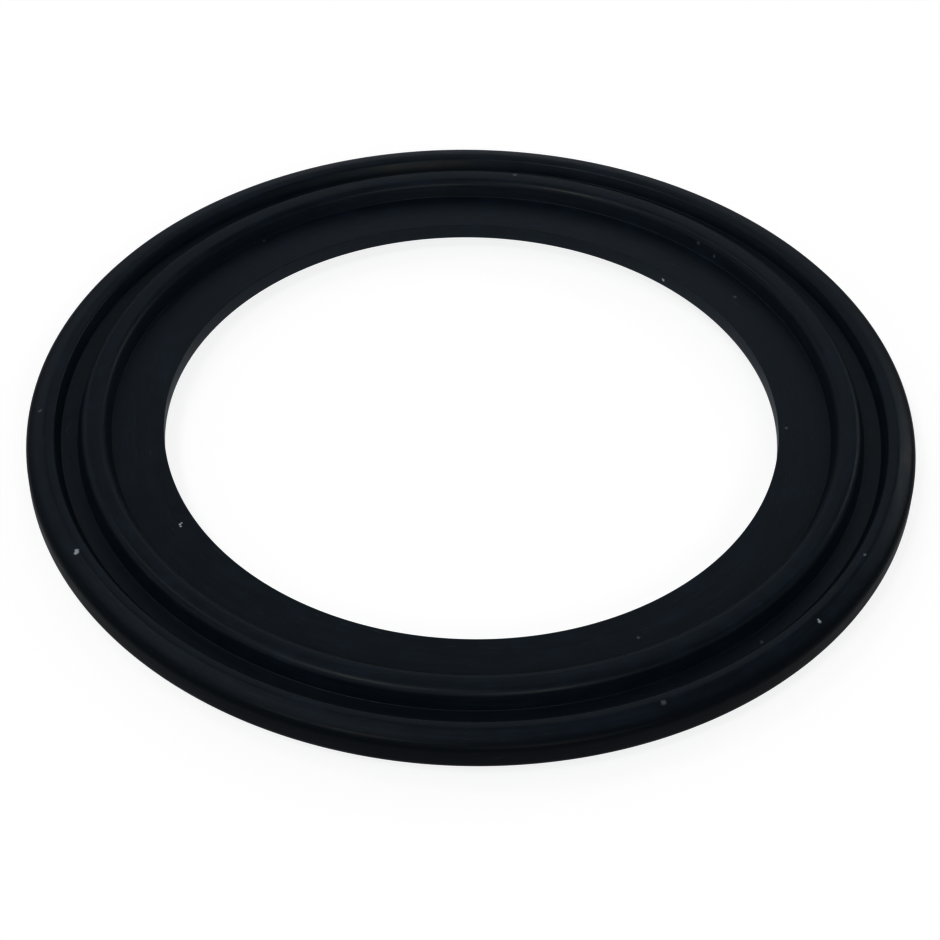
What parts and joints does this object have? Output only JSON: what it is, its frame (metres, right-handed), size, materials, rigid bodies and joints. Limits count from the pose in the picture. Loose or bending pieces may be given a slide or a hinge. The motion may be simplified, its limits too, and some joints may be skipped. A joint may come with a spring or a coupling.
{
  "type": "flange gasket",
  "caption": "Flat round rubber gasket for a hygienic clamp joint, with a raised sealing bead on both faces and a thicker outer rim.",
  "frame": {"origin": "centre of the ring on its axis, halfway through its thickness", "axes": "+Z along the axis of the ring; both faces are alike, so +Z and -Z look the same"},
  "size_m": [0.0505, 0.0504, 0.0028],
  "materials": {
    "rubber": "black moulded rubber, semi-matt"
  },
  "bodies": {
    "root": {"gasket": "rubber"}
  },
  "joints": []
}
